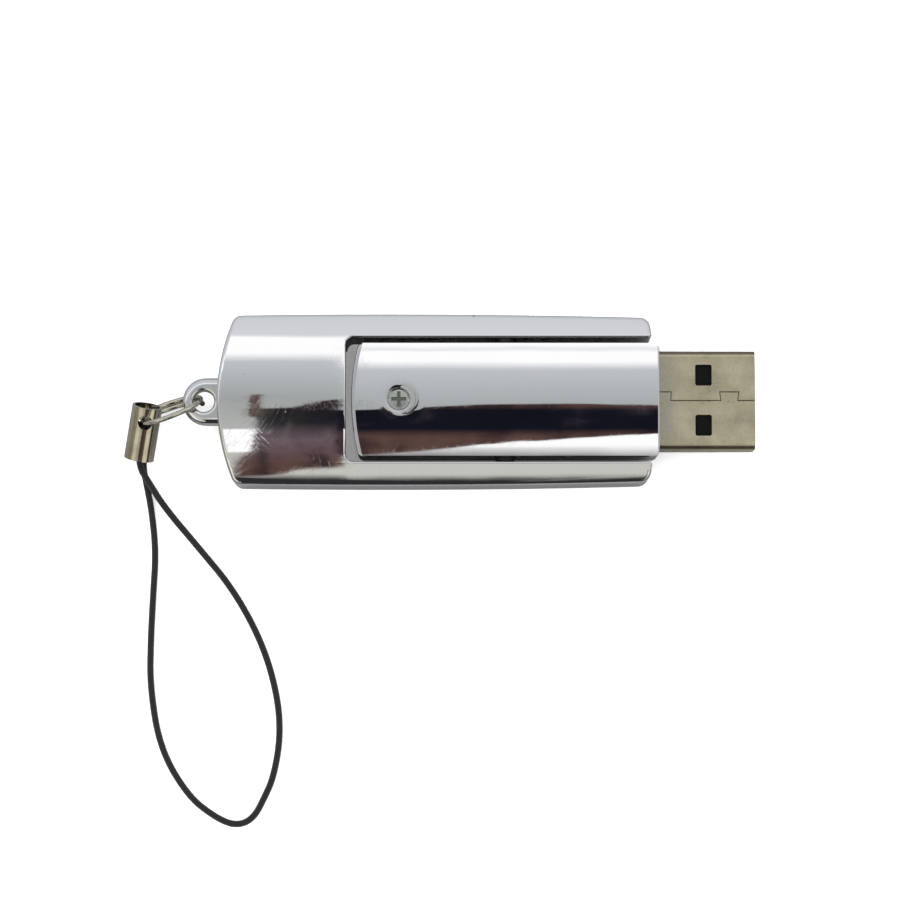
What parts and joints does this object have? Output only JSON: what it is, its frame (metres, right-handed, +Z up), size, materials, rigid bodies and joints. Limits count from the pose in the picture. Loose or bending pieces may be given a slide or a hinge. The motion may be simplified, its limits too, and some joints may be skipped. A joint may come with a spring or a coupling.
{
  "type": "usb flash drive",
  "caption": "Swing-out memory stick: a chrome frame with an eyelet, a unit that turns on stub pins to show its plug, a split ring and a thin wrist cord.",
  "frame": {"origin": "middle of the footprint of the frame, plug and split ring together, on the table under them; the cord and its ferrule are left out of that footprint", "axes": "+X along the frame towards the plug, +Y across it away from the cord, +Z up from the table to the polished lid"},
  "size_m": [0.0766, 0.0619, 0.0085],
  "materials": {
    "frame_chrome": "polished, with fine swirl scratches",
    "unit_chrome": "polished",
    "cover_chrome": "polished, with fine swirl scratches",
    "screw_steel": "bright plated",
    "pin_steel": "machined",
    "board": "solder mask",
    "black_plastic": "moulded",
    "chip_epoxy": "moulded epoxy",
    "tin": "tin plated",
    "capacitor": "fired ceramic",
    "film": "thin polyimide film",
    "plug_steel": "nickel plated sheet",
    "gold": "gold plated",
    "ring_steel": "nickel plated wire",
    "ferrule_brass": "nickel plated tube",
    "glue": "hardened glue",
    "cord": "braided"
  },
  "bodies": {
    "frame": {"outer_frame": "frame_chrome"},
    "drive": {"drive_body": "unit_chrome", "drive_cover": "cover_chrome", "cover_screw": "screw_steel", "pivot_pins": "pin_steel", "pivot_washers": "black_plastic", "circuit_board": "board", "board_cradle": "black_plastic", "flash_chip": "chip_epoxy", "controller_chip": "chip_epoxy", "controller_leads": "tin", "crystal": "tin", "capacitors": "capacitor", "resistors": "chip_epoxy", "insulating_film": "film", "usb_shell": "plug_steel", "usb_insulator": "black_plastic", "usb_contacts": "gold"},
    "ring": {"split_ring": "ring_steel"},
    "strap": {"cord_ferrule": "ferrule_brass", "cord_anchor": "glue", "cord_tails": "cord", "cord_loop": "cord"}
  },
  "joints": [
    {"name": "flip_hinge", "type": "hinge", "parent": "frame", "child": "drive", "pos_m": [0.00725, 0, 0.0043], "axis": [0, 1, 0], "range_deg": [-150, 180]},
    {"name": "ring_swing", "type": "hinge", "parent": "frame", "child": "ring", "pos_m": [-0.02928, 0, 0.0043], "axis": [0, 0, 1], "range_deg": [-20, 14]},
    {"name": "ferrule_swing", "type": "hinge", "parent": "ring", "child": "strap", "pos_m": [-0.03649, -0.00214, 0.00386], "axis": [0, 0, 1], "range_deg": [-25, 14]}
  ]
}
